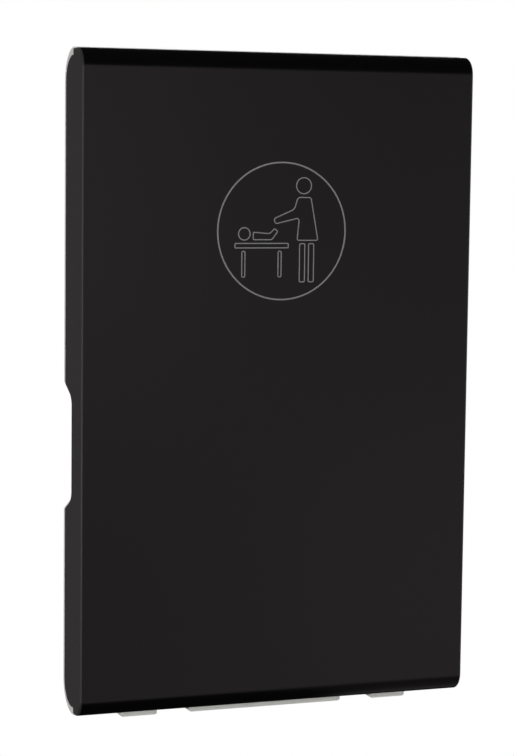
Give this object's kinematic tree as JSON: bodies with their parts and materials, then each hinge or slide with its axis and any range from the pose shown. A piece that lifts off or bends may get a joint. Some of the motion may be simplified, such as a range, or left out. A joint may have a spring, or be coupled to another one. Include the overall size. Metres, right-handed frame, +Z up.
{
  "type": "baby changing station",
  "caption": "Upright wall-hung baby changing station: a folding bed with a black steel cover turns down from a moulded chassis on a hinge along its lower edge.",
  "frame": {"origin": "on the wall face, at the middle of the cover's width and height", "axes": "+X to the right as seen from the room, +Y into the wall, +Z up, with the bed shut"},
  "size_m": [0.56, 0.12, 0.8988],
  "materials": {
    "black_coat": "satin powder coat",
    "white_moulding": "fine moulded grain",
    "zinc_steel": "zinc plated",
    "bright_steel": "ground",
    "grey_nylon": "moulded",
    "black_nylon": "moulded",
    "webbing": "woven",
    "red_plastic": "moulded",
    "black_rubber": "matt",
    "paper": "soft tissue"
  },
  "bodies": {
    "chassis": {"wall_plate": "zinc_steel", "wall_chassis": "white_moulding", "foot_cap": "white_moulding", "lug_bush_left": "grey_nylon", "lug_bush_right": "grey_nylon", "foot_bush_left": "grey_nylon", "foot_bush_right": "grey_nylon", "shaft_plug_left": "white_moulding", "shaft_plug_right": "white_moulding", "hinge_cartridge_left": "zinc_steel", "hinge_cartridge_right": "zinc_steel", "fixing_cap_1": "white_moulding", "fixing_cap_2": "white_moulding", "fixing_cap_3": "white_moulding", "fixing_cap_4": "white_moulding", "bumper_1": "black_rubber", "bumper_2": "black_rubber", "bumper_3": "black_rubber", "bumper_4": "black_rubber", "liner_pocket": "white_moulding", "liner_stack": "paper", "bag_hook_left": "white_moulding", "bag_hook_right": "white_moulding"},
    "bed": {"front_cover": "black_coat", "bed_shell": "white_moulding", "stiffener_left": "zinc_steel", "stiffener_right": "zinc_steel", "bed_knuckle_left": "zinc_steel", "bed_knuckle_right": "zinc_steel", "hinge_shaft": "bright_steel", "cartridge_hub_left": "grey_nylon", "cartridge_hub_right": "grey_nylon", "strap_anchor_left": "grey_nylon", "strap_anchor_right": "grey_nylon", "strap_left": "webbing", "strap_right": "webbing", "buckle_body": "black_nylon", "buckle_tongue": "black_nylon"},
    "button": {"buckle_button": "red_plastic"}
  },
  "joints": [
    {"name": "bed_hinge", "type": "hinge", "parent": "chassis", "child": "bed", "pos_m": [0, -0.069, -0.442], "axis": [1, 0, 0], "range_deg": [0, 90], "stiffness_Nm_per_rad": 8, "springref_deg": -57.3},
    {"name": "buckle_button_press", "type": "slide", "parent": "bed", "child": "button", "axis": [0, -1, 0], "range_m": [0, 0.003], "stiffness_N_per_m": 500}
  ]
}
